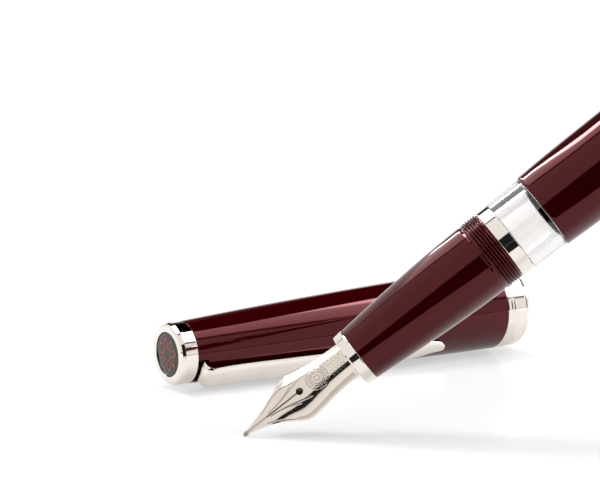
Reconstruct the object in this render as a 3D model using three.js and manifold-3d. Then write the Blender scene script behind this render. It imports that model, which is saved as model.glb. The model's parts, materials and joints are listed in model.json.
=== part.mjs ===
// Piston-filling fountain pen with a screw cap, uncapped.
//
// Millimetres, +Z up, the table top is Z = 0 and the origin is under the middle of the whole object.
// The cap lies along +X, finial first. The pen stands on its nib in front of the cap and leans up
// and away from it.
//
// Two local frames are used, each in a group of its own:
//   pen: +Y runs from the nib's tip to the turning knob, +Z is the nib's upper side
//   cap: +Y runs from the finial's face to the mouth, +Z points at the clip
// Profiles are lists of [radius, station along +Y] that close on themselves.
import * as THREE from "three";
import { mergeVertices } from "three/addons/utils/BufferGeometryUtils.js";
import Module from "manifold-3d";

const wasm = await Module();
wasm.setup();

// ---------------------------------------------------------------- driving dimensions

const OUTER_SIDES = 28; // facets round the pieces that are seen
const INNER_SIDES = 16; // facets round the pieces inside
const GAP = 0.08; // running gap between nested pieces
const JOINT = 0.05; // gap between pieces that butt end to end
const WELD = 1e-4; // corners closer than this are one corner
const DEGREE = Math.PI / 180;

// Stations along the pen, from the nib's tip.
const NIB_SHOWS = 18.4;
const SECTION_START = 20.1;
const NIB_END = 33;
const FLANGE_END = 33.9;
const CHAMBER_START = 35;
const THREAD_START = 42.8;
const SECTION_END = 45.8;
const WINDOW_START = 47.9;
const BARREL_START = 53.7;
const CHAMBER_END = 68.3;
const BARREL_END = 107.5;
const KNOB_START = 109;
const KNOB_END = 127.4;

// Radii of the pen.
const NIB_R = 3.2;
const FEED_R = 2.85;
const COLLAR_R = 3.64;
const BORE_R = 4.98; // bore of section, ring and barrel round the ink chamber
const CHAMBER_R = 4.3; // bore that the piston runs in
const RING_R = 5.67;
const WINDOW_R = 5.78;
const BARREL_TAIL_R = 5.95;
const ROD_R = 2.4;
const SPINDLE_R = 1.5;

// The cap's screw thread, cut on the section and in the cap.
const THREAD_PITCH = 0.46;
const THREAD_ROOT_R = 5.5;
const THREAD_CREST_R = 5.77;
const INSERT_ROOT_R = 5.86;
const INSERT_CREST_R = 5.62;

// The piston at rest is drawn back.
const PISTON_FRONT = 61;
const PISTON_LENGTH = 5.4;
const PISTON_R = 3.85;
const ROD_END = 104;

// The nib: station, half width, height of the crown over the axis, and sag from crown to edge.
const NIB_THICKNESS = 0.22;
const NIB_SHAPE = [
  [0, 0.28, 3.05, 0.01],
  [1, 0.42, 3.06, 0.02],
  [4, 1.3, 3.1, 0.14],
  [6, 2.25, 3.14, 0.6],
  [8, 3.45, 3.16, 1.35],
  [9.3, 3.82, 3.17, 1.72],
  [12, 3.52, 3.18, 1.88],
  [14.5, 3.14, 3.19, 1.92],
  [NIB_SHOWS, 2.94, NIB_R, 1.93],
  [NIB_END, 2.94, NIB_R, 1.93],
];
const NIB_ROWS = 20;
const NIB_COLUMNS = 8;
const BREATHER_AT = 10.1;
const BREATHER_R = 0.55;
const SLIT = 0.1;

// Stations along the cap, from the finial's face, and its radii.
const FINIAL_LENGTH = 2.95;
const FINIAL_R = 5.02;
const EMBLEM_R = 3.57;
const CAP_TAPER = 2.06; // growth of the radius from the finial to the band
const CAP_BULGE = 0.34; // how far the outline stands out midway
const BAND_START = 63.1;
const CAP_LENGTH = 67.9;
const BAND_R = 7.05;
const MOUTH_R = 6.25;
const LINER_START = 8.2;
const LINER_END = 28.6;
const LINER_R = 4.75;
const INSERT_START = 52.9;
const INSERT_LENGTH = 3.6;

// The clip.
const CLIP_ANGLE = 33; // degrees below the horizontal, on the pen's side of the cap
const CLIP_THICKNESS = 0.95;
const CLIP_WIDTH = 4.1;
const CLIP_GAP = 0.7; // between the blade and the cap
const CLIP_ROOT = 3.8;
const SLOT_WIDTH = 4.5;
const SLOT_END = 4.75;

// How the two halves stand on the table.
const CAP_TILT = 1.5; // degrees, because the band is wider than the finial
const PEN_AZIMUTH = -28.1; // degrees from +X, seen from above
const PEN_INCLINE = 37.9; // degrees up from the table
const NIB_ROLL = 32.8; // degrees that the nib's upper side is turned up from the horizontal
const TIP_X = -6.9; // the nib's tip, seen from the point of the table under the finial's face
const TIP_Y = -35.2;

// ---------------------------------------------------------------- materials

const metal = (color, roughness) => new THREE.MeshStandardMaterial({ color, roughness, metalness: 1 });
const plastic = (color, roughness) => new THREE.MeshStandardMaterial({ color, roughness, metalness: 0 });

const BURGUNDY = 0x4e0a12;
const CHROME = 0xe6e2de;
const STEEL = 0xd8cfc4;
const BLACK = 0x121214;
const GREY = 0x8a8a8c;

function clearPlastic() {
  const material = plastic(0xe9e7ea, 0.05);
  material.transparent = true;
  material.opacity = 0.35;
  return material;
}

// ---------------------------------------------------------------- building closed solids

// Weld shared corners and drop the triangles that have no area.
function weld(geometry) {
  geometry.deleteAttribute("normal");
  geometry.deleteAttribute("uv");
  const welded = mergeVertices(geometry, WELD);
  const corners = welded.index.array;
  const kept = [];
  for (let i = 0; i < corners.length; i += 3) {
    const [a, b, c] = corners.subarray(i, i + 3);
    if (a !== b && b !== c && c !== a) kept.push(a, b, c);
  }
  welded.setIndex(kept);
  return welded;
}

function volumeOf(geometry) {
  const at = geometry.attributes.position;
  const corners = geometry.index.array;
  const [a, b, c] = [new THREE.Vector3(), new THREE.Vector3(), new THREE.Vector3()];
  let sum = 0;
  for (let i = 0; i < corners.length; i += 3) {
    a.fromBufferAttribute(at, corners[i]);
    b.fromBufferAttribute(at, corners[i + 1]);
    c.fromBufferAttribute(at, corners[i + 2]);
    sum += a.dot(b.cross(c));
  }
  return sum / 6;
}

// A closed solid whose faces point outwards, from positions and an index in either winding.
function solid(positions, index) {
  const geometry = new THREE.BufferGeometry();
  geometry.setAttribute("position", new THREE.Float32BufferAttribute(positions, 3));
  geometry.setIndex(index);
  const welded = weld(geometry);
  if (volumeOf(welded) < 0) welded.setIndex([...welded.index.array].reverse());
  return welded;
}

// Two triangles for each cell between neighbouring closed rings of points.
function skin(rings, size) {
  const index = [];
  for (let i = 0; i + 1 < rings; i++) {
    for (let j = 0; j < size; j++) {
      const a = i * size + j;
      const b = i * size + ((j + 1) % size);
      index.push(a, b, b + size, a, b + size, a + size);
    }
  }
  return index;
}

// Turn a closed profile round +Y. The profile may change with the angle, as a thread's does.
function revolve(profileAt, sides) {
  const positions = [];
  for (let k = 0; k <= sides; k++) {
    const angle = (2 * Math.PI * (k % sides)) / sides;
    for (const [r, y] of profileAt(k / sides)) positions.push(r * Math.sin(angle), y, r * Math.cos(angle));
  }
  return solid(positions, skin(sides + 1, profileAt(0).length));
}

const turned = (profile, sides = OUTER_SIDES) => revolve(() => profile, sides);

// A plain tube or bush.
const tube = (inner, outer, start, end, sides = INNER_SIDES) =>
  turned([[inner, start], [outer, start], [outer, end], [inner, end]], sides);

// A ring of round section, such as an O-ring.
function roundRing(radius, half, station) {
  const profile = [];
  for (let k = 0; k < 8; k++) {
    const angle = (k + 0.5) * 45 * DEGREE;
    profile.push([radius + half * Math.cos(angle), station + half * Math.sin(angle)]);
  }
  return turned(profile, INNER_SIDES);
}

// A skin over rings of points. Each ring lists one side from left to right, then the other back,
// so the two ends close as strips.
function loft(rings) {
  const size = rings[0].length;
  const index = skin(rings.length, size);
  for (const [first, flip] of [[0, false], [(rings.length - 1) * size, true]]) {
    for (let j = 0; j < size / 2 - 1; j++) {
      const quad = [first + j, first + j + 1, first + size - 2 - j, first + size - 1 - j];
      if (flip) quad.reverse();
      const [a, b, c, d] = quad;
      index.push(a, d, c, a, c, b);
    }
  }
  return solid(rings.flat().flatMap((p) => p.toArray()), index);
}

// Points on a smooth curve through a few [radius, station] pairs.
function smooth(points, count) {
  const curve = new THREE.SplineCurve(points.map(([r, y]) => new THREE.Vector2(r, y)));
  return curve.getPoints(count).map((p) => [p.x, p.y]);
}

// The value of each column of a table at a station, by a smooth curve through its rows.
function tableAt(table, station) {
  const last = table.length - 1;
  let i = 0;
  while (i < last - 1 && station > table[i + 1][0]) i++;
  const [before, from, to, after] = [i - 1, i, i + 1, i + 2].map((k) => table[Math.min(Math.max(k, 0), last)]);
  const share = (station - from[0]) / (to[0] - from[0]);
  return from.slice(1).map((value, column) => {
    const c = column + 1;
    const span = to[0] - from[0];
    const slopeIn = before === from ? (to[c] - value) / span : (to[c] - before[c]) / (to[0] - before[0]);
    const slopeOut = after === to ? (to[c] - value) / span : (after[c] - value) / (after[0] - from[0]);
    const [s, s2, s3] = [share, share ** 2, share ** 3];
    return (
      (2 * s3 - 3 * s2 + 1) * value +
      (s3 - 2 * s2 + s) * span * slopeIn +
      (3 * s2 - 2 * s3) * to[c] +
      (s3 - s2) * span * slopeOut
    );
  });
}

// ---------------------------------------------------------------- joining and cutting

function manifold(geometry) {
  return new wasm.Manifold(
    new wasm.Mesh({
      numProp: 3,
      vertProperties: new Float32Array(geometry.attributes.position.array),
      triVerts: new Uint32Array(geometry.index.array),
    }),
  );
}

function geometryOf(body) {
  const mesh = body.getMesh();
  const geometry = new THREE.BufferGeometry();
  geometry.setAttribute("position", new THREE.Float32BufferAttribute(mesh.vertProperties, 3));
  geometry.setIndex([...mesh.triVerts]);
  return geometry;
}

function cut(geometry, ...tools) {
  const body = tools.reduce((rest, tool) => rest.subtract(manifold(weld(tool))), manifold(geometry));
  return geometryOf(body);
}

// A box to cut with, from its size along x, y, z and its middle.
const block = (x, y, z, at) => new THREE.BoxGeometry(x, y, z).translate(...at);

// ---------------------------------------------------------------- screw thread

// Rows of a thread from one station to another, for an angle given as a share of a turn. Rows that
// would pass either end lie on it, at the root's radius, so that the thread runs out cleanly.
const THREAD_FORM = [0, 0.36, 0.62, 0.98]; // foot, crest, crest, foot within one pitch

function threadRows(root, crest, start, end, turn) {
  const rows = [];
  const turns = Math.ceil((end - start) / THREAD_PITCH) + 1;
  for (let lap = -1; lap < turns; lap++) {
    THREAD_FORM.forEach((share, k) => {
      const y = start + THREAD_PITCH * (lap + share + turn);
      const inside = y > start + WELD && y < end - WELD;
      const onCrest = (k === 1 || k === 2) && y > start + THREAD_PITCH / 2 && y < end - THREAD_PITCH / 2;
      rows.push([onCrest ? crest : root, inside ? y : THREE.MathUtils.clamp(y, start, end)]);
    });
  }
  return rows;
}

// ---------------------------------------------------------------- writing end

// One cross-section of the nib: the upper surface from left to right, then the lower one back.
function nibSection(station) {
  const [half, crown, sag] = tableAt(NIB_SHAPE, station);
  const radius = (half ** 2 + sag ** 2) / (2 * sag);
  const spread = Math.asin(Math.min(half / radius, 1));
  const arc = (depth) =>
    Array.from({ length: NIB_COLUMNS + 1 }, (_, k) => {
      const angle = spread * ((2 * k) / NIB_COLUMNS - 1);
      const r = radius - depth;
      return new THREE.Vector3(r * Math.sin(angle), station, crown - radius + r * Math.cos(angle));
    });
  return [...arc(0), ...arc(NIB_THICKNESS).reverse()];
}

const nibStations = Array.from({ length: NIB_ROWS + 1 }, (_, k) => {
  const share = k / NIB_ROWS;
  return NIB_END * (0.4 * share + 0.6 * share ** 2);
});

function nib() {
  const sheet = loft(nibStations.map(nibSection));
  const hole = new THREE.CylinderGeometry(BREATHER_R, BREATHER_R, 4, 16).rotateX(Math.PI / 2);
  hole.translate(0, BREATHER_AT, NIB_R);
  const slit = block(SLIT, BREATHER_AT + 1, 4, [0, (BREATHER_AT - 1) / 2, NIB_R]);
  return cut(sheet, hole, slit);
}

const FEED_LIFT = 2.2; // how far the feed's front end stands over its axis

// One cross-section of the feed: a circle, flattened where the nib lies on it. Its front rises to
// the underside of the nib.
function feedSection(station, radius) {
  const [half, crown, sag] = tableAt(NIB_SHAPE, station);
  const depth = NIB_THICKNESS + GAP;
  const arc = (half ** 2 + sag ** 2) / (2 * sag) - depth;
  const under = (x) => crown - depth - arc + Math.sqrt(Math.max(arc ** 2 - x ** 2, 0));
  const lift = FEED_LIFT * (Math.max(0, 10 - station) / 6) ** 1.5;
  return Array.from({ length: INNER_SIDES }, (_, k) => {
    const angle = ((k + 0.5) / INNER_SIDES - 0.25) * 2 * Math.PI;
    const x = radius * Math.sin(angle);
    const z = lift + radius * Math.cos(angle);
    return new THREE.Vector3(x, station, k < INNER_SIDES / 2 ? Math.min(z, under(x)) : z);
  });
}

// The feed is a rod with fins under the nib and a nipple that leads into the ink chamber.
function feed() {
  const front = 4;
  const firstFin = 6.4;
  const fins = 7;
  const finPitch = 1.35;
  const core = 2.05;
  const rows = [[0.45, front], [0.75, front + 0.4], [1.5, firstFin - 0.4]];
  for (let k = 0; k < fins; k++) {
    const y = firstFin + k * finPitch;
    const r = Math.min(FEED_R, 2 + 0.25 * k);
    const root = Math.min(core, 1.6 + 0.12 * k);
    rows.push([root, y], [r, y + 0.05], [r, y + 0.75], [root, y + 0.8]);
  }
  rows.push([core, NIB_SHOWS - 1.6], [FEED_R, NIB_SHOWS - 1.5], [FEED_R, NIB_END - 0.2]);
  rows.push([1.6, NIB_END - 0.1], [1.6, CHAMBER_START]);
  return loft(rows.map(([radius, station]) => feedSection(station, radius)));
}

const nibCollar = () => tube(NIB_R + 0.12, COLLAR_R, NIB_SHOWS + 0.4, NIB_END);

function sectionRing() {
  const inner = COLLAR_R + GAP;
  const [front, back] = [NIB_SHOWS, SECTION_START - JOINT];
  return turned([
    [inner, front], [4.0, front], [4.14, front + 0.07], [4.2, front + 0.22],
    [4.33, back - 0.15], [4.3, back], [inner, back],
  ]);
}

function gripSection() {
  const collarBore = COLLAR_R + GAP;
  const outline = smooth([[4.26, SECTION_START], [4.72, 25.5], [5.15, 31.4], [5.46, 37.2], [5.59, 42.3]], 9);
  const end = SECTION_END - JOINT;
  return revolve(
    (turn) => [
      ...outline,
      [THREAD_ROOT_R, THREAD_START],
      ...threadRows(THREAD_ROOT_R, THREAD_CREST_R, THREAD_START + 0.1, end - 0.05, turn),
      [THREAD_ROOT_R, end],
      [BORE_R, end], [BORE_R, FLANGE_END], [2.1, FLANGE_END],
      [2.1, NIB_END + 0.15], [collarBore, NIB_END + 0.15], [collarBore, SECTION_START],
    ],
    INNER_SIDES + 4,
  );
}

const sectionSeal = () => roundRing(4.45, 0.4, (FLANGE_END + CHAMBER_START) / 2);

// ---------------------------------------------------------------- ink chamber and barrel

function barrelRing() {
  const [front, back] = [SECTION_END, WINDOW_START - JOINT];
  return turned([
    [BORE_R, front], [RING_R - 0.12, front], [RING_R, front + 0.12],
    [RING_R, back - 0.12], [RING_R - 0.12, back], [BORE_R, back],
  ]);
}

function inkChamber() {
  const outer = BORE_R - GAP;
  return turned([
    [CHAMBER_R, CHAMBER_START], [outer, CHAMBER_START], [outer, WINDOW_START],
    [RING_R, WINDOW_START], [WINDOW_R, BARREL_START - JOINT], [outer, BARREL_START - JOINT],
    [outer, CHAMBER_END], [CHAMBER_R, CHAMBER_END],
  ]);
}

function barrel() {
  const end = BARREL_END - JOINT;
  const outline = smooth(
    [[6.02, BARREL_START + 0.2], [6.18, 58], [6.28, 63.7], [6.4, 78], [6.31, 92], [BARREL_TAIL_R, end]],
    10,
  );
  return turned([[BORE_R, BARREL_START], [5.88, BARREL_START], ...outline, [BORE_R, end]]);
}

function tailRing() {
  const end = KNOB_START - JOINT;
  return turned([
    [SPINDLE_R + 0.15, BARREL_END], [BARREL_TAIL_R - 0.08, BARREL_END], [BARREL_TAIL_R, BARREL_END + 0.12],
    [BARREL_TAIL_R, end - 0.12], [BARREL_TAIL_R - 0.12, end], [SPINDLE_R + 0.15, end],
  ]);
}

// ---------------------------------------------------------------- piston filler

const COLLAR_POCKET = 104.4; // where the guide opens out for the spindle's collar

function pistonGuide() {
  const outer = BORE_R - GAP;
  const start = CHAMBER_END + 0.1;
  const end = BARREL_END - 0.1;
  const bore = ROD_R + 0.1;
  return turned([
    [bore, start], [outer, start], [outer, end], [3.2, end], [3.2, COLLAR_POCKET], [bore, COLLAR_POCKET],
  ], INNER_SIDES);
}

const SEAL_GROOVES = [1.2, 3.3]; // from the piston's front face
const GROOVE_WIDTH = 1.1;

function pistonHead() {
  const profile = [[0, PISTON_FRONT], [PISTON_R - 0.3, PISTON_FRONT], [PISTON_R, PISTON_FRONT + 0.3]];
  for (const groove of SEAL_GROOVES) {
    const y = PISTON_FRONT + groove;
    profile.push([PISTON_R, y], [3.3, y], [3.3, y + GROOVE_WIDTH], [PISTON_R, y + GROOVE_WIDTH]);
  }
  profile.push([PISTON_R, PISTON_FRONT + PISTON_LENGTH], [0, PISTON_FRONT + PISTON_LENGTH]);
  return turned(profile, INNER_SIDES);
}

const pistonSeal = (groove) =>
  tube(3.38, CHAMBER_R - 0.1, PISTON_FRONT + groove + 0.06, PISTON_FRONT + groove + GROOVE_WIDTH - 0.06);

function pistonRod() {
  const start = PISTON_FRONT + PISTON_LENGTH + JOINT;
  const bore = SPINDLE_R + 0.15;
  const boreStart = start + 3;
  return turned(
    [[0, start], [ROD_R, start], [ROD_R, ROD_END], [bore, ROD_END], [bore, boreStart], [0, boreStart]],
    INNER_SIDES,
  );
}

const SPINDLE_START = 70;
const SPINDLE_END = 115;

const spindle = () =>
  turned(
    [
      [0, SPINDLE_START], [SPINDLE_R - 0.3, SPINDLE_START], [SPINDLE_R, SPINDLE_START + 0.3],
      [SPINDLE_R, SPINDLE_END], [0, SPINDLE_END],
    ],
    INNER_SIDES,
  );

const spindleCollar = () => tube(SPINDLE_R + JOINT, 3.0, COLLAR_POCKET + 0.5, COLLAR_POCKET + 2.1);

const DISC_R = 4.05;
const DISC_START = KNOB_END - 1;

function turningKnob() {
  const front = KNOB_START + 0.05;
  const socket = SPINDLE_R + JOINT;
  const outline = smooth([[5.9, front + 0.12], [5.74, 113.5], [5.35, 120], [4.8, KNOB_END - 0.6]], 7);
  return turned([
    [socket, front], [5.78, front], ...outline, [4.68, KNOB_END - 0.15], [4.5, KNOB_END],
    [DISC_R + GAP, KNOB_END], [DISC_R + GAP, DISC_START - JOINT], [0, DISC_START - JOINT],
    [0, SPINDLE_END + 0.2], [socket, SPINDLE_END + 0.2],
  ]);
}

const knobEndDisc = () =>
  turned([
    [0, DISC_START], [DISC_R, DISC_START], [DISC_R, KNOB_END + 0.1], [DISC_R - 0.2, KNOB_END + 0.3],
    [0, KNOB_END + 0.3],
  ]);

// ---------------------------------------------------------------- cap

const capShare = (t) => (t - FINIAL_LENGTH) / (BAND_START - FINIAL_LENGTH);
const capRadius = (t) => FINIAL_R + CAP_TAPER * capShare(t) + CAP_BULGE * 4 * capShare(t) * (1 - capShare(t));

const SCREW_R = 1.2;
const SCREW_HEAD_R = 2.4;
const RECESS_R = 3.85; // the recess in the cap's end that holds the clip's mounting ring
const RECESS_END = 3.8;

function finialRing() {
  const back = FINIAL_LENGTH - JOINT;
  return turned([
    [EMBLEM_R + JOINT, 0], [4.5, 0], [4.82, 0.22], [FINIAL_R, 0.75], [FINIAL_R, back], [SCREW_R + 0.1, back],
    [SCREW_R + 0.1, 2], [SCREW_HEAD_R + 0.1, 2], [SCREW_HEAD_R + 0.1, 0.95], [EMBLEM_R + JOINT, 0.95],
  ]);
}

const finialEmblem = () => turned([[0, 0.12], [EMBLEM_R, 0.12], [EMBLEM_R, 0.85], [0, 0.85]]);

const finialScrew = () =>
  turned(
    [[0, 0.95], [SCREW_HEAD_R, 0.95], [SCREW_HEAD_R, 1.9], [SCREW_R, 1.9], [SCREW_R, 7.4], [0, 7.4]],
    INNER_SIDES,
  );

const clipMountRing = () => tube(SCREW_R + 0.15, RECESS_R - 0.15, FINIAL_LENGTH, RECESS_END - JOINT);

function capBarrel() {
  const screwHole = SCREW_R + GAP;
  const outline = [];
  const steps = 12;
  for (let k = 0; k <= steps; k++) {
    const t = FINIAL_LENGTH + ((BAND_START - JOINT - FINIAL_LENGTH) * k) / steps;
    outline.push([capRadius(t), t]);
  }
  const neck = 6.6;
  const shell = turned([
    [RECESS_R, FINIAL_LENGTH],
    ...outline,
    [neck, BAND_START - JOINT], [neck, CAP_LENGTH - 1.15], [MOUTH_R, CAP_LENGTH - 1.15],
    [MOUTH_R, INSERT_START], [5.76, INSERT_START], [5.0, LINER_END + 0.4], [LINER_R, LINER_END],
    [LINER_R, LINER_START], [screwHole, LINER_START], [screwHole, RECESS_END], [RECESS_R, RECESS_END],
  ]);
  const slotLength = SLOT_END - FINIAL_LENGTH + 1;
  const slot = block(SLOT_WIDTH, slotLength, 4, [0, SLOT_END - slotLength / 2, 5.6]);
  return cut(shell, slot);
}

function capLipBand() {
  const inner = 6.68;
  const groove = 6.97;
  const bead = BAND_START + 0.7;
  const endBead = CAP_LENGTH - 0.85;
  return turned([
    [inner, BAND_START], [7.05, BAND_START], [7.12, BAND_START + 0.12], [7.12, bead - 0.1], [groove, bead],
    [groove, bead + 0.15], [BAND_R, bead + 0.25], [BAND_R, endBead - 0.2], [groove, endBead - 0.1],
    [groove, endBead], [BAND_R - 0.02, endBead + 0.12], [6.98, endBead + 0.5], [6.75, CAP_LENGTH],
    [6.4, CAP_LENGTH], [MOUTH_R, CAP_LENGTH - 0.15], [MOUTH_R, CAP_LENGTH - 1.1], [inner, CAP_LENGTH - 1.1],
  ]);
}

function capThreadInsert() {
  const start = INSERT_START + JOINT;
  const end = INSERT_START + INSERT_LENGTH;
  const outer = MOUTH_R - GAP;
  return revolve(
    (turn) => [
      [INSERT_ROOT_R, start],
      ...threadRows(INSERT_ROOT_R, INSERT_CREST_R, start + 0.1, end - 0.1, turn),
      [INSERT_ROOT_R, end], [outer, end], [outer, start],
    ],
    INNER_SIDES + 4,
  );
}

function capInnerLiner() {
  const outer = LINER_R - GAP;
  const inner = 4.25;
  const floor = 0.6;
  const [start, end] = [LINER_START + 0.2, LINER_END - 0.2];
  return turned(
    [
      [0, start], [outer, start], [outer, end], [inner + 0.15, end],
      [inner, end - 0.4], [inner, start + floor], [0, start + floor],
    ],
    INNER_SIDES,
  );
}

// ---------------------------------------------------------------- clip

// Station along the cap, height of the blade's middle over the cap's axis, width and thickness.
function clipStations() {
  const over = (t, gap) => capRadius(t) + gap + CLIP_THICKNESS / 2;
  const flat = CLIP_THICKNESS;
  return [
    [CLIP_ROOT, 3.95, CLIP_WIDTH, flat],
    [CLIP_ROOT, 5.2, CLIP_WIDTH, flat],
    [CLIP_ROOT + 0.12, 5.85, CLIP_WIDTH, flat],
    [CLIP_ROOT + 0.6, 6.4, CLIP_WIDTH + 0.05, flat],
    [CLIP_ROOT + 1.6, 6.62, CLIP_WIDTH + 0.1, flat],
    [10, over(10, CLIP_GAP), 4.2, flat],
    [17, over(17, CLIP_GAP), 4.4, flat],
    [25, over(25, CLIP_GAP), 4.5, flat],
    [33, over(33, CLIP_GAP), 4.3, flat],
    [39, over(39, CLIP_GAP), 3.85, flat],
    [43.5, over(43.5, CLIP_GAP - 0.2), 3.3, flat],
    [46.7, over(46.7, 0.18), 2.8, flat - 0.1],
    [48.1, over(48.1, 0.12), 2.4, flat - 0.2],
    [49.1, over(49.1, 0.3), 1.8, flat - 0.35],
    [49.6, over(49.6, 0.5), 1.0, flat - 0.6],
  ];
}

// Across the blade: the crowned upper side, then the flat lower side, as shares of half sizes.
const CLIP_TOP = [[-1, -0.4], [-0.9, 0.45], [-0.5, 0.85], [0, 1], [0.5, 0.85], [0.9, 0.45], [1, -0.4]];
const CLIP_BOTTOM = [[0.92, -0.85], [0.6, -1], [0.3, -1], [0, -1], [-0.3, -1], [-0.6, -1], [-0.92, -0.85]];

function clip() {
  const stations = clipStations();
  const rings = stations.map(([t, height, width, thickness], k) => {
    const [before, after] = [stations[Math.max(k - 1, 0)], stations[Math.min(k + 1, stations.length - 1)]];
    const along = new THREE.Vector2(after[0] - before[0], after[1] - before[1]).normalize();
    return [...CLIP_TOP, ...CLIP_BOTTOM].map(([across, up]) => {
      const rise = (up * thickness) / 2;
      return new THREE.Vector3((across * width) / 2, t - along.y * rise, height + along.x * rise);
    });
  });
  return loft(rings);
}

// ---------------------------------------------------------------- assembly

function add(group, name, geometry, material) {
  const mesh = new THREE.Mesh(geometry, material);
  mesh.name = name;
  group.add(mesh);
}

const pen = new THREE.Group();
add(pen, "nib", nib(), metal(STEEL, 0.22));
add(pen, "feed", feed(), plastic(BLACK, 0.35));
add(pen, "nib_collar", nibCollar(), plastic(BLACK, 0.4));
add(pen, "section_ring", sectionRing(), metal(CHROME, 0.08));
add(pen, "grip_section", gripSection(), plastic(BURGUNDY, 0.12));
add(pen, "section_seal", sectionSeal(), plastic(BLACK, 0.7));
add(pen, "barrel_ring", barrelRing(), metal(CHROME, 0.08));
add(pen, "ink_chamber", inkChamber(), clearPlastic());
add(pen, "barrel", barrel(), plastic(BURGUNDY, 0.12));
add(pen, "tail_ring", tailRing(), metal(CHROME, 0.08));
add(pen, "piston_guide", pistonGuide(), plastic(GREY, 0.45));
add(pen, "piston_head", pistonHead(), plastic(GREY, 0.45));
add(pen, "piston_seal_front", pistonSeal(SEAL_GROOVES[0]), plastic(BLACK, 0.7));
add(pen, "piston_seal_rear", pistonSeal(SEAL_GROOVES[1]), plastic(BLACK, 0.7));
add(pen, "piston_rod", pistonRod(), plastic(GREY, 0.45));
add(pen, "spindle", spindle(), metal(STEEL, 0.3));
add(pen, "spindle_collar", spindleCollar(), metal(STEEL, 0.3));
add(pen, "turning_knob", turningKnob(), plastic(BURGUNDY, 0.12));
add(pen, "knob_end_disc", knobEndDisc(), metal(CHROME, 0.08));

const cap = new THREE.Group();
add(cap, "finial_ring", finialRing(), metal(CHROME, 0.08));
add(cap, "finial_emblem", finialEmblem(), plastic(BLACK, 0.15));
add(cap, "finial_screw", finialScrew(), metal(STEEL, 0.3));
add(cap, "clip_mount_ring", clipMountRing(), metal(STEEL, 0.3));
add(cap, "cap_barrel", capBarrel(), plastic(BURGUNDY, 0.12));
add(cap, "cap_lip_band", capLipBand(), metal(CHROME, 0.08));
add(cap, "cap_thread_insert", capThreadInsert(), plastic(BLACK, 0.4));
add(cap, "cap_inner_liner", capInnerLiner(), plastic(BLACK, 0.4));
add(cap, "clip", clip(), metal(CHROME, 0.08));

// Point a group's +Y and +Z along two directions at right angles.
function aim(group, along, up) {
  const side = new THREE.Vector3().crossVectors(along, up);
  group.setRotationFromMatrix(new THREE.Matrix4().makeBasis(side, along, up));
}

// Let a group down on to the table.
function settle(group) {
  group.updateMatrixWorld(true);
  group.position.z -= new THREE.Box3().setFromObject(group, true).min.z;
}

function placePen() {
  const [azimuth, incline, roll] = [PEN_AZIMUTH * DEGREE, PEN_INCLINE * DEGREE, NIB_ROLL * DEGREE];
  const heading = new THREE.Vector3(Math.cos(azimuth), Math.sin(azimuth), 0);
  const level = new THREE.Vector3(Math.sin(azimuth), -Math.cos(azimuth), 0);
  const along = heading.clone().multiplyScalar(Math.cos(incline)).setZ(Math.sin(incline));
  const above = new THREE.Vector3().crossVectors(level, along);
  const up = level.clone().multiplyScalar(Math.cos(roll)).addScaledVector(above, Math.sin(roll));
  aim(pen, along, up);
  const [, crown] = tableAt(NIB_SHAPE, 0);
  pen.position.set(TIP_X, TIP_Y, 0).addScaledVector(up, -crown);
  settle(pen);
}

function placeCap() {
  const [tilt, angle] = [CAP_TILT * DEGREE, CLIP_ANGLE * DEGREE];
  const along = new THREE.Vector3(Math.cos(tilt), 0, Math.sin(tilt));
  const down = new THREE.Vector3(Math.sin(tilt), 0, -Math.cos(tilt));
  const toClip = new THREE.Vector3(0, -Math.cos(angle), 0).addScaledVector(down, Math.sin(angle));
  aim(cap, along, toClip);
  settle(cap);
}

placePen();
placeCap();

const object = new THREE.Group();
object.add(pen, cap);
object.updateMatrixWorld(true);
const middle = new THREE.Box3().setFromObject(object, true).getCenter(new THREE.Vector3());
for (const half of [pen, cap]) half.position.sub(new THREE.Vector3(middle.x, middle.y, 0));

export default object;
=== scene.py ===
"""Looks of an uncapped fountain pen with a piston filler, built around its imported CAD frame.

Everything is in metres in the frame of the CAD, +Z up. Pieces are made in one of two local frames:
  PEN: +Y runs from the nib's tip to the turning knob, +Z is the nib's upper side
  CAP: +Y runs from the finial's face to the mouth, +Z points at the clip
Inside those frames sizes are typed in millimetres. A profile is a closed list of (radius, station).
"""

import json
import math

import bpy
import numpy as np
from mathutils import Matrix, Vector


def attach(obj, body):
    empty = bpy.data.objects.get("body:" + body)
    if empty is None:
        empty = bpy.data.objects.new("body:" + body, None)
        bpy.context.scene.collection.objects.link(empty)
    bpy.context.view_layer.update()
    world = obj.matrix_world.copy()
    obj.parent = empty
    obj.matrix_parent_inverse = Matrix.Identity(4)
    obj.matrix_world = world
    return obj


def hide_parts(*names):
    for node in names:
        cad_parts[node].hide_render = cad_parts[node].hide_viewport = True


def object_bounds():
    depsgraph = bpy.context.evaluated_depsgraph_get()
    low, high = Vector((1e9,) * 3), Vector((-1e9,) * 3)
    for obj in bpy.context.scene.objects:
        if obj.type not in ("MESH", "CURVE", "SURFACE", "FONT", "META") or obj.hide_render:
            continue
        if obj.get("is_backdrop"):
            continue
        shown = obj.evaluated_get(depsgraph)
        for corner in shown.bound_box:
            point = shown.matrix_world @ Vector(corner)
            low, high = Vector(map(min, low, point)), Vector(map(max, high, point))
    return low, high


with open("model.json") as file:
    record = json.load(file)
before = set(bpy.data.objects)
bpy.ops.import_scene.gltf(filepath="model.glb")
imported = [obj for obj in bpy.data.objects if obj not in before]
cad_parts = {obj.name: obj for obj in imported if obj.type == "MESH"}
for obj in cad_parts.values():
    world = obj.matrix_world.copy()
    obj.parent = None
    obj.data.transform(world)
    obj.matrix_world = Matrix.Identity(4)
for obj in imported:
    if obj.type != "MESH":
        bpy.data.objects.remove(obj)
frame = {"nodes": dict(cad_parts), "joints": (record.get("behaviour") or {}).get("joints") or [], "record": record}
cad_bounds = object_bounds()

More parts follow.
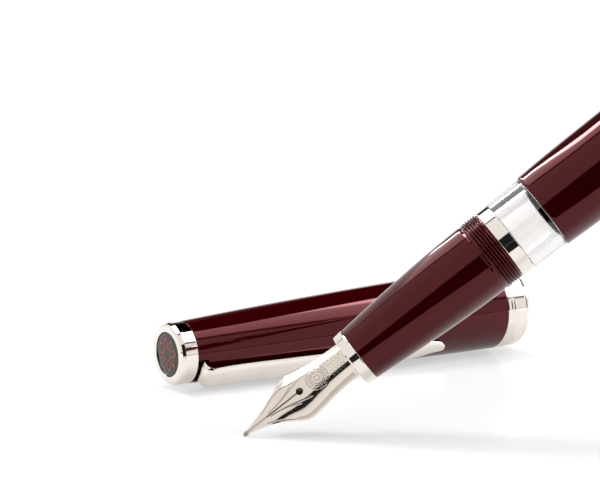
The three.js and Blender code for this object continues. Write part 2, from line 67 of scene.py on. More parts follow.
MM = 0.001
FINE = 192  # facets round the pieces that are seen
INSIDE = 96  # facets round the pieces inside
SHARP = math.radians(34)  # edges that turn more than this are not smoothed over
GAP = 0.08  # between a bore and what sits in it
JOINT = 0.05  # between two faces that meet

# ---------------------------------------------------------------- driving dimensions, as in the CAD

NIB_SHOWS, SECTION_START, NIB_END, FLANGE_END = 18.4, 20.1, 33.0, 33.9
CHAMBER_START, THREAD_START, SECTION_END = 35.0, 42.8, 45.8
WINDOW_START, BARREL_START, CHAMBER_END = 47.9, 53.7, 68.3
BARREL_END, KNOB_START, KNOB_END = 107.5, 109.0, 127.4
FACE_STATION = 127.7  # the end disc's face, where the record puts the knob's joint

NIB_R, FEED_R, COLLAR_R, BORE_R, CHAMBER_R = 3.2, 2.85, 3.64, 4.98, 4.3
FIN_R, FIN_DEPTH = 2.15, 0.45  # the feed where the nib covers it
RING_R, WINDOW_R, TAIL_R, ROD_R, SPINDLE_R = 5.67, 5.78, 5.95, 2.4, 1.5
THREAD_PITCH = 0.46
THREAD_ROOT, THREAD_CREST = 5.5, 5.77
INSERT_ROOT, INSERT_CREST = 5.86, 5.62
PISTON_FRONT, PISTON_LENGTH, PISTON_R, ROD_END = 61.0, 5.4, 3.85, 104.0
SEAL_GROOVES, GROOVE_WIDTH = (1.2, 3.3), 1.1

# station, half width, height of the crown over the axis, sag from crown to edge
NIB_SHAPE = np.array([
    [0, 0.28, 3.05, 0.01],
    [1, 0.42, 3.06, 0.02],
    [4, 1.3, 3.1, 0.14],
    [6, 2.25, 3.14, 0.6],
    [8, 3.45, 3.16, 1.35],
    [9.3, 3.82, 3.17, 1.72],
    [12, 3.52, 3.18, 1.88],
    [14.5, 3.14, 3.19, 1.92],
    [NIB_SHOWS, 2.94, NIB_R, 1.93],
    [NIB_END, 2.94, NIB_R, 1.93],
])
NIB_THICKNESS, BREATHER_AT, BREATHER_R, SLIT = 0.22, 10.1, 0.55, 0.1
FEED_LIFT = 2.2  # how far the feed's front end stands over its axis
NIB_FLATNESS = 2.5  # 2 is a round section; more is flatter on top with steeper flanks
NIB_ROLL = math.radians(32.8)
ROSETTE_AT, ENGRAVED_DEPTH = 13.3, 0.03

FINIAL_LENGTH, FINIAL_R, EMBLEM_R, EMBLEM_FACE = 2.95, 5.02, 3.57, 0.12
CAP_TAPER, CAP_BULGE = 2.06, 0.34
BAND_START, CAP_LENGTH, BAND_R, MOUTH_R = 63.1, 67.9, 7.05, 6.25
LINER_START, LINER_END, LINER_R = 8.2, 28.6, 4.75
INSERT_START, INSERT_LENGTH = 52.9, 3.6
CLIP_THICKNESS, CLIP_WIDTH, CLIP_GAP, CLIP_ROOT = 0.95, 4.1, 0.7, 3.8
SLOT_WIDTH, SLOT_END = 4.5, 4.75

# ---------------------------------------------------------------- camera

CAMERA_AT = Vector((-0.20724, -0.26197, 0.07234))
CAMERA_HEADING = math.radians(57.434)  # from +X towards +Y
CAMERA_PITCH = math.radians(-8.022)
LENS, SENSOR = 132, 36
TABLE_FRONT = 0.1  # from under the object to where the dark room starts, towards the camera

AHEAD = Vector((math.cos(CAMERA_HEADING), math.sin(CAMERA_HEADING), 0))  # level, away from the camera
RIGHT = Vector((AHEAD.y, -AHEAD.x, 0))

# ---------------------------------------------------------------- light levels

ROOM_LEVEL = 0.95
WALL_DARKNESS, FRONT_DARKNESS, RIM_DARKNESS = 0.94, 0.985, 0.85
SOFTBOX_LEVELS = (2.2, 3.2)  # from its front to its rear
STRIP_LEVELS = (6.0, 16.0)  # from its right end to its left

# ---------------------------------------------------------------- local frames, from the record


def local_frame(origin, along, up):
    side = along.cross(up)
    return Matrix.Translation(origin) @ Matrix((side, along, up)).transposed().to_4x4()


joints = {joint["name"]: joint for joint in frame["joints"]}
mounts = {mount["name"]: mount for mount in frame["record"]["mounts"]}


def pen_frame():
    joint = joints["knob_turn"]
    along = Vector(joint["axis"]).normalized()
    level = along.cross(Vector((0, 0, 1))).normalized()
    up = level * math.cos(NIB_ROLL) + level.cross(along) * math.sin(NIB_ROLL)
    return local_frame(Vector(joint["pos_m"]) - along * FACE_STATION * MM, along, up)


def cap_frame():
    mount = mounts["finial_face"]
    along = -Vector(mount["axis"]).normalized()
    side = Vector(joints["clip_flex"]["axis"])
    side = (side - along * side.dot(along)).normalized()
    return local_frame(Vector(mount["pos_m"]) - along * EMBLEM_FACE * MM, along, side.cross(along))


PEN = pen_frame()
CAP = cap_frame()

# ---------------------------------------------------------------- shapes


def piece(name, place, points, faces, body, nodes, material):
    """A mesh object from points in millimetres in a local frame, riding on a body for CAD nodes."""
    mesh = bpy.data.meshes.new(name)
    mesh.from_pydata((np.asarray(points) * MM).tolist(), [], faces)
    mesh.validate()
    mesh.polygons.foreach_set("use_smooth", [True] * len(mesh.polygons))
    mesh.set_sharp_from_angle(angle=SHARP)
    mesh.materials.append(material)
    made = bpy.data.objects.new(name, mesh)
    bpy.context.scene.collection.objects.link(made)
    made.matrix_world = place
    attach(made, body)
    if nodes:
        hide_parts(*nodes)
    return made


def outwards(points, faces):
    """The faces, all turned over if the closed surface they make is inside out."""
    points = np.asarray(points)
    volume = 0.0
    for face in faces:
        first = points[face[0]]
        for second, third in zip(face[1:-1], face[2:]):
            volume += np.dot(first, np.cross(points[second], points[third]))
    return faces if volume > 0 else [face[::-1] for face in faces]


def distinct(corners):
    """The corners of a face in order, each once."""
    return tuple(dict.fromkeys(corners))


def grid_faces(rows, columns, wrap_rows, wrap_columns):
    faces = []
    for i in range(rows if wrap_rows else rows - 1):
        for j in range(columns if wrap_columns else columns - 1):
            below, right = (i + 1) % rows, (j + 1) % columns
            here, under = i * columns, below * columns
            faces.append((here + j, here + right, under + right, under + j))
    return faces


def fillet(profile, radius, step=math.radians(22)):
    """Round the corners of a closed profile, with a short straight stretch kept beside each."""
    points = [np.array(p, float) for p in profile]
    rounded = []
    for k, corner in enumerate(points):
        back, on = points[k - 1] - corner, points[(k + 1) % len(points)] - corner
        back_length, on_length = np.linalg.norm(back), np.linalg.norm(on)
        if back_length < 1e-9 or on_length < 1e-9:
            continue
        back, on = back / back_length, on / on_length
        inner = math.acos(np.clip(np.dot(back, on), -1, 1))
        turn = math.pi - inner
        if turn < math.radians(14) or corner[0] < 1e-6 or radius <= 0:
            rounded.append(corner)
            continue
        reach = min(radius / math.tan(inner / 2), 0.4 * back_length, 0.4 * on_length)
        bend = reach * math.tan(inner / 2)
        middle = corner + (back + on) / np.linalg.norm(back + on) * bend / math.sin(inner / 2)
        start, end = corner + back * reach, corner + on * reach
        count = max(2, math.ceil(turn / step))
        rounded.append(start + back * min(0.02, 0.2 * reach))
        for n in range(count + 1):
            share = n / count
            chord = (start - middle) * math.sin((1 - share) * turn) + (end - middle) * math.sin(share * turn)
            rounded.append(middle + chord / math.sin(turn) if turn < 3.1 else corner)
        rounded.append(end + on * min(0.02, 0.2 * reach))
    return rounded


def revolve(name, place, profile, body, nodes, material, sides=FINE, edge=0.06, relief=None):
    """Turn a closed profile round +Y. relief(radius, station, turn) may change the radius with the angle."""
    rounded = np.array(fillet(profile, edge))
    angles = np.arange(sides) * 2 * math.pi / sides
    radii = np.repeat(rounded[:, 0][None, :], sides, axis=0)
    if relief is not None:
        radii = relief(radii, rounded[:, 1][None, :], (angles / (2 * math.pi))[:, None])
    points = np.stack([
        radii * np.sin(angles)[:, None],
        np.repeat(rounded[:, 1][None, :], sides, axis=0),
        radii * np.cos(angles)[:, None],
    ], axis=-1)
    size = len(rounded)
    flat = points.reshape(-1, 3)
    on_axis = [j for j in range(size) if rounded[j, 0] < 1e-6]
    index = {}
    for j in on_axis:
        for i in range(sides):
            index[i * size + j] = j
    faces = []
    for face in grid_faces(sides, size, True, True):
        corners = distinct(index.get(c, c) for c in face)
        if len(corners) > 2:
            faces.append(corners)
    used = sorted({c for face in faces for c in face})
    renumber = {old: new for new, old in enumerate(used)}
    faces = [tuple(renumber[c] for c in face) for face in faces]
    points = flat[used]
    return piece(name, place, points, outwards(points, faces), body, nodes, material)


def loft(name, place, rings, body, nodes, material):
    """A skin over closed rings of points, with a flat fan at each end."""
    rings = np.asarray(rings, float)
    count, size = rings.shape[:2]
    faces = grid_faces(count, size, False, True)
    points = list(rings.reshape(-1, 3))
    for first, ring, flip in ((0, rings[0], False), ((count - 1) * size, rings[-1], True)):
        middle = len(points)
        points.append(ring.mean(axis=0))
        for j in range(size):
            fan = (middle, first + (j + 1) % size, first + j)
            faces.append(fan[::-1] if flip else fan)
    return piece(name, place, points, outwards(points, faces), body, nodes, material)


def cut_box(target, low, high):
    """Cut a box, given in the piece's own frame in millimetres, out of a piece."""
    corners = [(x, y, z) for x in (low[0], high[0]) for y in (low[1], high[1]) for z in (low[2], high[2])]
    faces = [(0, 1, 3, 2), (4, 6, 7, 5), (0, 4, 5, 1), (2, 3, 7, 6), (0, 2, 6, 4), (1, 5, 7, 3)]
    mesh = bpy.data.meshes.new("cutter")
    mesh.from_pydata((np.array(corners) * MM).tolist(), [], faces)
    cutter = bpy.data.objects.new("cutter", mesh)
    bpy.context.scene.collection.objects.link(cutter)
    bpy.context.view_layer.update()
    cutter.matrix_world = target.matrix_world
    modifier = target.modifiers.new("cut", "BOOLEAN")
    modifier.object = cutter
    modifier.solver = "EXACT"
    bpy.context.view_layer.update()
    made = bpy.data.meshes.new_from_object(target.evaluated_get(bpy.context.evaluated_depsgraph_get()))
    target.modifiers.clear()
    target.data = made
    made.set_sharp_from_angle(angle=SHARP)
    bpy.data.objects.remove(cutter)


def spline(points, count):
    """A smooth curve through points, as a row of count points."""
    points = np.array(points, float)
    padded = np.vstack([2 * points[0] - points[1], points, 2 * points[-1] - points[-2]])
    made = []
    for position in np.linspace(0, len(points) - 1, count):
        k = min(int(position), len(points) - 2)
        s = position - k
        a, b, c, d = padded[k:k + 4]
        bend = (2 * a - 5 * b + 4 * c - d) * s**2 + (3 * b - a - 3 * c + d) * s**3
        made.append(0.5 * (2 * b + (c - a) * s + bend))
    return [tuple(p) for p in made]


def table_at(table, station):
    """The columns of a table at a station, by a smooth curve through its rows."""
    last = len(table) - 1
    i = 0
    while i < last - 1 and station > table[i + 1][0]:
        i += 1
    before, start, end, after = (table[min(max(k, 0), last)] for k in (i - 1, i, i + 1, i + 2))
    span = end[0] - start[0]
    s = (station - start[0]) / span
    slope_in = (end[1:] - before[1:]) / (end[0] - before[0])
    slope_out = (after[1:] - start[1:]) / (after[0] - start[0])
    return (
        (2 * s**3 - 3 * s**2 + 1) * start[1:]
        + (s**3 - 2 * s**2 + s) * span * slope_in
        + (3 * s**2 - 2 * s**3) * end[1:]
        + (s**3 - s**2) * span * slope_out
    )


# ---------------------------------------------------------------- shader nodes


class Nodes:
    """Adds nodes to a material or world, with short names for the few kinds used here."""

    def __init__(self, tree):
        self.tree = tree

    def add(self, kind, **settings):
        node = self.tree.nodes.new(kind)
        for key, value in settings.items():
            setattr(node, key, value)
        return node

    def feed(self, value, socket):
        if isinstance(value, bpy.types.NodeSocket):
            self.tree.links.new(value, socket)
        else:
            socket.default_value = value

    def fill(self, node, settings):
        """Give a node's sockets their values or links, by the sockets' names."""
        for key, value in settings.items():
            self.feed(value, node.inputs[key])

    def math(self, operation, *values, clamp=False):
        node = self.add("ShaderNodeMath", operation=operation, use_clamp=clamp)
        for value, socket in zip(values, node.inputs):
            self.feed(value, socket)
        return node.outputs[0]

    def times(self, *factors):
        product = factors[0]
        for factor in factors[1:]:
            product = self.math("MULTIPLY", product, factor)
        return product

    def rest(self, share):
        """What a share leaves of one."""
        return self.math("SUBTRACT", 1.0, share)

    def step(self, value, low, high, start=0.0, end=1.0):
        """Goes smoothly from start to end as value goes from low to high."""
        node = self.add("ShaderNodeMapRange", interpolation_type="SMOOTHSTEP")
        self.fill(node, {"Value": value, "From Min": low, "From Max": high, "To Min": start, "To Max": end})
        return node.outputs["Result"]

    def dot(self, vector, direction):
        node = self.add("ShaderNodeVectorMath", operation="DOT_PRODUCT")
        self.feed(vector, node.inputs[0])
        self.feed(tuple(direction), node.inputs[1])
        return node.outputs["Value"]

    def place(self, scale=(1, 1, 1)):
        """The point on the piece in its own frame, stretched."""
        coordinates = self.add("ShaderNodeTexCoord").outputs["Object"]
        mapping = self.add("ShaderNodeMapping")
        self.feed(coordinates, mapping.inputs["Vector"])
        self.feed(scale, mapping.inputs["Scale"])
        return mapping.outputs["Vector"]

    def noise(self, vector, scale, detail=3.0, roughness=0.5):
        node = self.add("ShaderNodeTexNoise")
        self.fill(node, {"Vector": vector, "Scale": scale, "Detail": detail, "Roughness": roughness})
        return node.outputs["Fac"]

    def blend(self, share, first, second):
        node = self.add("ShaderNodeMix", data_type="RGBA")
        self.feed(share, node.inputs[0])
        self.feed(first, node.inputs[6])
        self.feed(second, node.inputs[7])
        return node.outputs[2]

    def bump(self, height, strength, distance):
        node = self.add("ShaderNodeBump")
        self.fill(node, {"Height": height, "Strength": strength, "Distance": distance})
        return node.outputs["Normal"]


def surface(name, **values):
    """A material with a Principled shader whose plain values are set on its own sockets."""
    material = bpy.data.materials.new(name)
    material.use_nodes = True
    shader = material.node_tree.nodes["Principled BSDF"]
    for key, value in values.items():
        shader.inputs[key.replace("_", " ")].default_value = value
    return material, shader, Nodes(material.node_tree)


def finish_surface(nodes, shader, colours, colour_scale, roughness, grain, stretch=(1, 1, 1)):
    """Slight cloudiness in colour, uneven polish, and fine marks in the surface."""
    cloud = nodes.noise(nodes.place(), colour_scale, 4.0)
    nodes.feed(nodes.blend(nodes.step(cloud, 0.35, 0.65), *colours), shader.inputs["Base Color"])
    wear = nodes.noise(nodes.place(stretch), 900.0, 5.0, 0.6)
    nodes.feed(nodes.step(wear, 0.3, 0.75, *roughness), shader.inputs["Roughness"])
    if grain:
        strength, distance, scale = grain
        marks = nodes.noise(nodes.place(stretch), scale, 4.0)
        nodes.feed(nodes.bump(marks, strength, distance), shader.inputs["Normal"])


def make_resin():
    """Polished burgundy resin: a nearly black red whose tinted reflection stands in for light from within."""
    material, shader, nodes = surface(
        "burgundy_resin", IOR=1.49, Specular_IOR_Level=0.82, Specular_Tint=(1.0, 0.29, 0.32, 1)
    )
    finish_surface(
        nodes, shader, ((0.023, 0.0002, 0.0006, 1), (0.028, 0.0003, 0.0009, 1)), 260.0,
        (0.025, 0.055), (0.02, 0.00002, 2200.0), (1, 0.25, 1),
    )
    return material


def make_chrome():
    """Polished plating, a little warm, with faint turning marks."""
    material, shader, nodes = surface("chrome", Metallic=1.0)
    finish_surface(
        nodes, shader, ((0.83, 0.765, 0.71, 1), (0.87, 0.81, 0.755, 1)), 180.0,
        (0.03, 0.07), (0.03, 0.00002, 1500.0), (0.3, 3, 0.3),
    )
    return material


def make_nib_steel():
    """Polished steel sheet with cut lines. A share on the mesh, how deep the lines go at each point, makes it
    darker and rougher; the same share paints shade along the slit's edges and a dark reflection over the tip.
    """
    material, shader, nodes = surface("nib_steel", Metallic=1.0)
    cloud = nodes.noise(nodes.place(), 300.0, 4.0)
    plain = nodes.blend(cloud, (0.72, 0.63, 0.55, 1), (0.82, 0.735, 0.66, 1))
    marked_and_painted_dark = nodes.add("ShaderNodeAttribute", attribute_name="lines_and_painted_dark").outputs["Fac"]
    # Painted light: this dark colour goes on the cut lines, and also paints shade along the slit and a dark
    # reflection over the tip.
    nodes.feed(nodes.blend(marked_and_painted_dark, plain, (0.30, 0.25, 0.215, 1)), shader.inputs["Base Color"])
    wear = nodes.noise(nodes.place((3, 0.3, 3)), 1200.0, 4.0)
    polish = nodes.step(wear, 0.3, 0.75, 0.07, 0.13)
    nodes.feed(nodes.math("ADD", polish, nodes.math("MULTIPLY", marked_and_painted_dark, 0.2)), shader.inputs["Roughness"])
    nodes.feed(nodes.bump(wear, 0.03, 0.00002), shader.inputs["Normal"])
    return material


def make_clear():
    """Clear acrylic: light goes through its real wall."""
    material, shader, nodes = surface(
        "clear_resin", Base_Color=(0.90, 0.885, 0.88, 1), IOR=1.49, Transmission_Weight=1.0
    )
    wear = nodes.noise(nodes.place((1, 0.2, 1)), 1500.0, 4.0)
    nodes.feed(nodes.step(wear, 0.4, 0.8, 0.01, 0.05), shader.inputs["Roughness"])
    marks = nodes.noise(nodes.place((1, 0.3, 1)), 500.0)
    nodes.feed(nodes.bump(marks, 0.05, 0.00003), shader.inputs["Normal"])
    return material


def make_plain(name, colours, metallic, roughness, grain, stretch=(1, 1, 1), level=0.5):
    material, shader, nodes = surface(name, Metallic=metallic, Specular_IOR_Level=level)
    finish_surface(nodes, shader, colours, 400.0, roughness, grain, stretch)
    return material


RESIN = make_resin()
CHROME = make_chrome()
NIB_STEEL = make_nib_steel()
CLEAR = make_clear()
BLACK = make_plain(
    "black_plastic", ((0.008, 0.008, 0.009, 1), (0.014, 0.014, 0.015, 1)),
    0.0, (0.28, 0.42), (0.15, 0.00004, 3000.0),
)
ENAMEL = make_plain(
    "black_enamel", ((0.006, 0.006, 0.008, 1), (0.012, 0.011, 0.013, 1)),
    0.0, (0.03, 0.08), (0.02, 0.00002, 1200.0),
)
COPPER = make_plain(
    "copper_inlay", ((0.20, 0.045, 0.028, 1), (0.28, 0.07, 0.042, 1)),
    0.25, (0.2, 0.35), (0.1, 0.00003, 2500.0),
)
RUBBER = make_plain(
    "black_rubber", ((0.010, 0.010, 0.010, 1), (0.018, 0.018, 0.018, 1)),
    0.0, (0.55, 0.75), (0.2, 0.00005, 4000.0),
)
GREY = make_plain(
    "grey_plastic", ((0.42, 0.42, 0.43, 1), (0.50, 0.50, 0.51, 1)),
    0.0, (0.35, 0.5), (0.15, 0.00004, 3000.0),
)
PLAIN_STEEL = make_plain(
    "plain_steel", ((0.55, 0.53, 0.50, 1), (0.65, 0.63, 0.60, 1)),
    1.0, (0.22, 0.38), (0.2, 0.00003, 2500.0), (0.2, 4, 0.2),
)

for node, material in (
    ("nib_collar", BLACK),
    ("section_seal", RUBBER),
    ("piston_guide", GREY),
    ("spindle", PLAIN_STEEL),
    ("spindle_collar", PLAIN_STEEL),
    ("finial_screw", PLAIN_STEEL),
    ("clip_mount_ring", PLAIN_STEEL),
):
    for slot in frame["nodes"][node].material_slots:
        slot.material = material

# ---------------------------------------------------------------- nib


def nib_point(station, across, depth):
    """A point of the nib's sheet: across is its share of the half width, depth is below the upper side."""
    half, crown, sag = table_at(NIB_SHAPE, station)
    fall = sag * abs(across) ** NIB_FLATNESS
    slope = sag * NIB_FLATNESS * abs(across) ** (NIB_FLATNESS - 1) / half
    lean = math.atan(slope) * (1 if across > 0 else -1)
    return (
        across * half - depth * math.sin(lean),
        station,
        crown - fall - depth * math.cos(lean),
    )


def line(distance, width=0.07):
    """How deeply a line is engraved at a distance from its middle."""
    return np.exp(-((distance / width) ** 2))


def lines_and_painted_dark(station, across, half):
    """Share of the depth of the nib's cut lines at a point, which also darkens the steel there.

    It has the slit's edges, chamfered and darkened as painted shade, two borders and two scrolls a side, a
    rosette, and a braid behind it.
    """
    x = across * half
    side = abs(x)
    depth = 0.0
    # Painted shade: the steel beside the slit is darkened, besides getting its small chamfer.
    if station < BREATHER_AT:
        depth = line(side - SLIT / 2, 0.09)
    if 3.5 < station < 17.9:
        for inset, start in ((0.32, 3.6), (0.52, 7.5)):
            if station > start:
                depth = max(depth, line(side - (half - inset)) * 0.8)
    for start, end, out, power in ((4.6, 9.4, 1.6, 1.8), (4.6, 11.2, 1.75, 1.45)):
        if start < station < end:
            share = (station - start) / (end - start)
            depth = max(depth, line(side - (0.3 + (out - 0.3) * share**power), 0.08))
    along = station - ROSETTE_AT
    radius, angle = math.hypot(x, along), math.atan2(along, x)
    if radius < 1.95:
        for ring in (0.35, 0.95, 1.2, 1.72):
            depth = max(depth, line(radius - ring, 0.065) * 0.75)
        petals = 0.65 + 0.22 * math.cos(8 * angle)
        depth = max(depth, line(radius - petals, 0.065) * 0.7)
        waves = 1.46 + 0.16 * math.cos(14 * angle)
        depth = max(depth, line(radius - waves, 0.065) * 0.7)
    if 15.3 < station < 17.9:
        wave = 0.42 * math.sin((station - 15.3) * 5.2)
        depth = max(depth, line(side - 0.8 - wave, 0.05) * 0.7, line(side - 0.8 + wave, 0.05) * 0.7)
    if 15.5 < station < 17.8:
        depth = max(depth, line(x, 0.04) * 0.4)
    return depth


def nib_stations():
    """Where the nib's rows lie: close at the tip and round the breather hole, wide inside the collar."""
    return np.concatenate([
        np.array([-0.28, -0.2, -0.1, 0.05, 0.2, 0.4, 0.6, 0.8, 1.0]),
        np.arange(1.06, BREATHER_AT - BREATHER_R - 0.02, 0.06),
        BREATHER_AT - BREATHER_R * np.cos(np.linspace(0, math.pi, 17)),
        np.arange(BREATHER_AT + BREATHER_R + 0.04, 18.6, 0.06),
        np.linspace(18.7, NIB_END, 24),
    ])


def nib_row(station, sign, shares):
    """One row of a tine, from slit or hole to the edge and back below, with the share of darkening at each point:
    cut lines, painted slit shade and the tip's painted dark reflection.
    """
    half, crown, sag = table_at(NIB_SHAPE, max(station, 0))
    inner = SLIT / 2
    reach = abs(station - BREATHER_AT)
    if reach < BREATHER_R:
        inner = max(inner, math.sqrt(BREATHER_R**2 - reach**2))
    elif station > BREATHER_AT:
        inner = 0.0
    tip = max(0.0, 1 - (max(0.0, 0.4 - station) / 0.7) ** 2) ** 0.5
    pellet = 0.3 * math.exp(-(((station - 0.15) / 0.45) ** 2))
    rounding = 0.25 * (1 - tip) if station < 0.8 else 0.0
    across = inner / half + (tip - inner / half) * shares
    points, dark_shares = [], []
    for share in across:
        # Painted reflection: before station 0.4 the tip takes the full share, so it shows dark and rough as if it
        # reflected a dark room.
        groove = lines_and_painted_dark(station, sign * share, half) if station > 0.4 else 1.0
        drop = ENGRAVED_DEPTH * groove if station > 1 else 0.0
        x, _, z = nib_point(max(station, 0), sign * share, drop + rounding)
        points.append((x, station, z))
        dark_shares.append(groove)
    for share in across[::-1]:
        thickness = NIB_THICKNESS + pellet - rounding
        x, _, z = nib_point(max(station, 0), sign * share * 0.995, thickness)
        points.append((x, station, z))
        dark_shares.append(0.0)
    return points, dark_shares


def tine_faces(rows, columns):
    """The faces of one tine: its skin, open where the two tines join, and its two ends."""
    size = 2 * columns
    faces = []
    for face in grid_faces(len(rows), size, False, True):
        row, column = divmod(face[0], size)
        if column < size - 1 or rows[row] < BREATHER_AT + BREATHER_R - 1e-6:
            faces.append(face)
    for row in (0, len(rows) - 1):
        for j in range(columns - 1):
            front, back = row * size + j, row * size + size - 1 - j
            quad = (front, front + 1, back - 1, back)
            faces.append(quad if row else quad[::-1])
    return faces


def weld(points, values, faces):
    """Join the points that coincide and drop the faces that this closes up."""
    places = {}
    welded, kept, mapping = [], [], []
    for point, value in zip(points, values):
        key = tuple(round(v, 5) for v in point)
        if key not in places:
            places[key] = len(welded)
            welded.append(point)
            kept.append(value)
        mapping.append(places[key])
    joined = [distinct(mapping[c] for c in face) for face in faces]
    return welded, kept, [face for face in joined if len(face) > 2]


def build_nib():
    """Two tines joined behind the breather hole. The mesh carries how deep each point's cut lines go, with painted
    shade along the slit and a painted dark reflection over the tip.
    """
    rows, columns = nib_stations(), 80
    shares = np.linspace(0, 1, columns)
    points, dark_shares, faces = [], [], []
    for sign in (-1, 1):
        first = len(points)
        for station in rows:
            row, row_dark_shares = nib_row(station, sign, shares)
            points.extend(row)
            dark_shares.extend(row_dark_shares)
        for face in tine_faces(rows, columns):
            placed = tuple(c + first for c in face)
            faces.append(placed[::-1] if sign > 0 else placed)
    points, dark_shares, faces = weld(points, dark_shares, faces)
    faces = outwards(points, faces)
    made = piece("nib_engraved", PEN, points, faces, "pen", ["nib"], NIB_STEEL)
    attribute = made.data.attributes.new("lines_and_painted_dark", "FLOAT", "POINT")
    attribute.data.foreach_set("value", dark_shares)


def build_feed():
    """A rod flattened under the nib, with thin fins that get wider towards the section."""
    count = 64
    block = NIB_SHOWS - 1.6

    def ring(radius, station):
        half, crown, sag = table_at(NIB_SHAPE, station)
        depth = NIB_THICKNESS + GAP
        lift = FEED_LIFT * (max(0, 10 - station) / 6) ** 1.5
        made = []
        for k in range(count):
            angle = ((k + 0.5) / count - 0.25) * 2 * math.pi
            x = radius * math.sin(angle)
            z = lift + radius * math.cos(angle)
            if k < count / 2:
                z = min(z, crown - depth - sag * (abs(x) / half) ** 2 - 0.02)
            made.append((x, station, z))
        return made

    rows = [(0.3, 4.0), (0.45, 4.06), (0.75, 4.4), (1.2, 5.2), (1.5, 6.0)]
    for k in range(7):
        y = 6.4 + 1.35 * k
        r = min(FIN_R, FIN_R - 0.35 + 0.1 * k)
        root = r - FIN_DEPTH
        rows += [(root, y - 0.02), (root, y), (r - 0.06, y + 0.04), (r, y + 0.1)]
        rows += [(r, y + 0.7), (r - 0.06, y + 0.76), (root, y + 0.8), (root, y + 0.82)]
    rows += [(FIN_R - FIN_DEPTH, block), (FIN_R - 0.05, block + 0.06), (FIN_R, block + 0.15)]
    rows += [(FIN_R, NIB_SHOWS + 0.1), (FEED_R, NIB_SHOWS + 0.2)]
    rows += [(FEED_R, NIB_END - 0.2), (1.6, NIB_END - 0.1), (1.6, CHAMBER_START)]
    loft("feed_finned", PEN, [ring(*row) for row in rows], "pen", ["feed"], BLACK)


# ---------------------------------------------------------------- pen


def thread_relief(root, crest, start, end):
    """A rounded screw thread between two stations, running out over a third of a millimetre."""

    def relief(radii, stations, turns):
        phase = (stations - start) / THREAD_PITCH - turns
        ridge = (0.5 - 0.5 * np.cos(2 * math.pi * phase)) ** 0.7
        fade = np.clip((stations - start) / 0.33, 0, 1) * np.clip((end - stations) / 0.33, 0, 1)
        inside = (stations > start) & (stations < end) & (np.abs(radii - root) < 0.02)
        return np.where(inside, root + (crest - root) * ridge * fade, radii)

    return relief


def thread_rows(root, start, end):
    return [(root, y) for y in np.arange(start, end, 0.035)]


def build_pen():
    inner = COLLAR_R + GAP
    front, back = NIB_SHOWS, SECTION_START - JOINT
    revolve(
        "section_ring_polished", PEN,
        [(inner, front), (4.0, front), (4.14, front + 0.07), (4.2, front + 0.22), (4.33, back - 0.15),
         (4.3, back), (inner, back)],
        "pen", ["section_ring"], CHROME,
    )
    outline = spline([(4.26, 20.1), (4.72, 25.5), (5.15, 31.4), (5.46, 37.2), (5.59, 42.3)], 44)
    end = SECTION_END - JOINT
    thread = (THREAD_START + 0.1, end - 0.05)
    revolve(
        "grip_section_threaded", PEN,
        [*outline, (5.59, 42.45), (THREAD_ROOT, 42.75), (THREAD_ROOT, THREAD_START),
         *thread_rows(THREAD_ROOT, *thread), (THREAD_ROOT, end), (BORE_R, end), (BORE_R, FLANGE_END),
         (2.1, FLANGE_END), (2.1, NIB_END + 0.15), (inner, NIB_END + 0.15), (inner, SECTION_START)],
        "pen", ["grip_section"], RESIN, edge=0.05,
        relief=thread_relief(THREAD_ROOT, THREAD_CREST, *thread),
    )
    front, back = SECTION_END, WINDOW_START - JOINT
    revolve(
        "barrel_ring_polished", PEN,
        [(BORE_R, front), (RING_R, front), (RING_R, back), (BORE_R, back)],
        "pen", ["barrel_ring"], CHROME, edge=0.11,
    )
    outer = BORE_R - GAP
    revolve(
        "ink_chamber_clear", PEN,
        [(CHAMBER_R, CHAMBER_START), (outer, CHAMBER_START), (outer, WINDOW_START), (RING_R, WINDOW_START),
         (WINDOW_R, BARREL_START - JOINT), (outer, BARREL_START - JOINT), (outer, CHAMBER_END),
         (CHAMBER_R, CHAMBER_END)],
        "pen", ["ink_chamber"], CLEAR, edge=0.05,
    )
    end = BARREL_END - JOINT
    outline = spline(
        [(6.02, 53.95), (6.18, 58), (6.28, 63.7), (6.4, 78), (6.31, 92), (TAIL_R, end)], 60
    )
    revolve(
        "barrel_shell", PEN,
        [(BORE_R, BARREL_START), (5.88, BARREL_START), (5.98, 53.78), *outline, (BORE_R, end)],
        "pen", ["barrel"], RESIN, edge=0.05,
    )
    bore = SPINDLE_R + 0.15
    end = KNOB_START - JOINT
    revolve(
        "tail_ring_polished", PEN,
        [(bore, BARREL_END), (TAIL_R, BARREL_END), (TAIL_R, end), (bore, end)],
        "pen", ["tail_ring"], CHROME, edge=0.11,
    )


def build_knob():
    front = KNOB_START + 0.05
    socket = SPINDLE_R + JOINT
    disc_r, disc_start = 4.05, KNOB_END - 1
    outline = spline([(5.9, 109.17), (5.74, 113.5), (5.35, 120), (4.8, 126.8)], 40)
    revolve(
        "turning_knob_shell", PEN,
        [(socket, front), (5.78, front), *outline, (4.68, 127.25), (4.5, KNOB_END),
         (disc_r + GAP, KNOB_END), (disc_r + GAP, disc_start - JOINT), (0, disc_start - JOINT),
         (0, 115.2), (socket, 115.2)],
        "knob", ["turning_knob"], RESIN, edge=0.08,
    )
    revolve(
        "knob_disc_polished", PEN,
        [(0, disc_start), (disc_r, disc_start), (disc_r, KNOB_END + 0.1), (3.85, KNOB_END + 0.3),
         (2.9, KNOB_END + 0.3), (2.8, KNOB_END + 0.22), (2.7, KNOB_END + 0.3), (0, KNOB_END + 0.3)],
        "knob", ["knob_end_disc"], CHROME, edge=0.05,
    )


